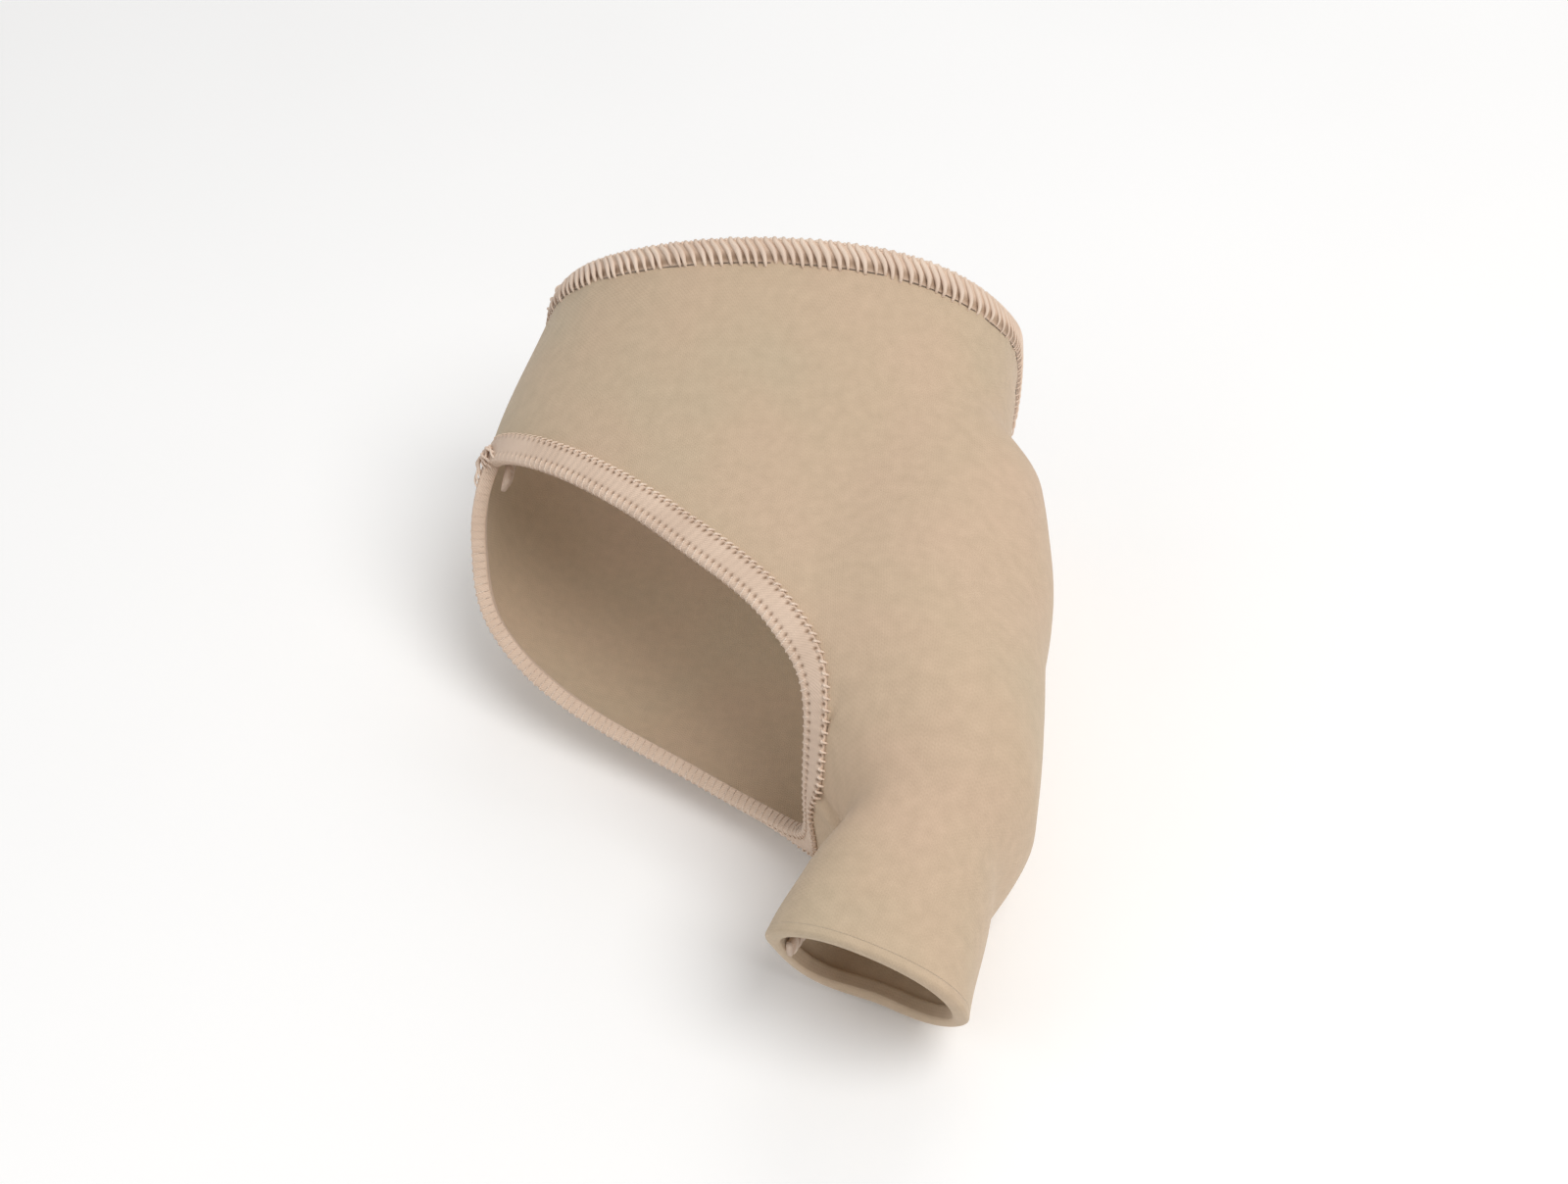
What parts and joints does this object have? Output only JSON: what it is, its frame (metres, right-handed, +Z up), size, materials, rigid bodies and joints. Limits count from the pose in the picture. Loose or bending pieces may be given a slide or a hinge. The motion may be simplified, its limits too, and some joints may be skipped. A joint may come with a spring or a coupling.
{
  "type": "bunion protector",
  "caption": "Elastic toe and midfoot sleeve for the right foot, open for the small toes, with a gel pad over the big toe's joint.",
  "frame": {"origin": "middle of the midfoot hollow, where the foot sits in the sleeve", "axes": "+Y from the toes to the heel, +Z up from the sole to the instep, +X to the big toe's side of a right foot"},
  "size_m": [0.0936, 0.1199, 0.0658],
  "materials": {
    "knit": "matte",
    "tape": "satin",
    "thread": "satin",
    "gel": "semi-gloss"
  },
  "bodies": {
    "root": {"sleeve": "knit", "gel_pad": "gel", "instep_hem": "thread", "forefoot_hem": "tape", "toe_hem": "knit", "side_seam": "thread", "toe_seam": "thread"}
  },
  "joints": []
}
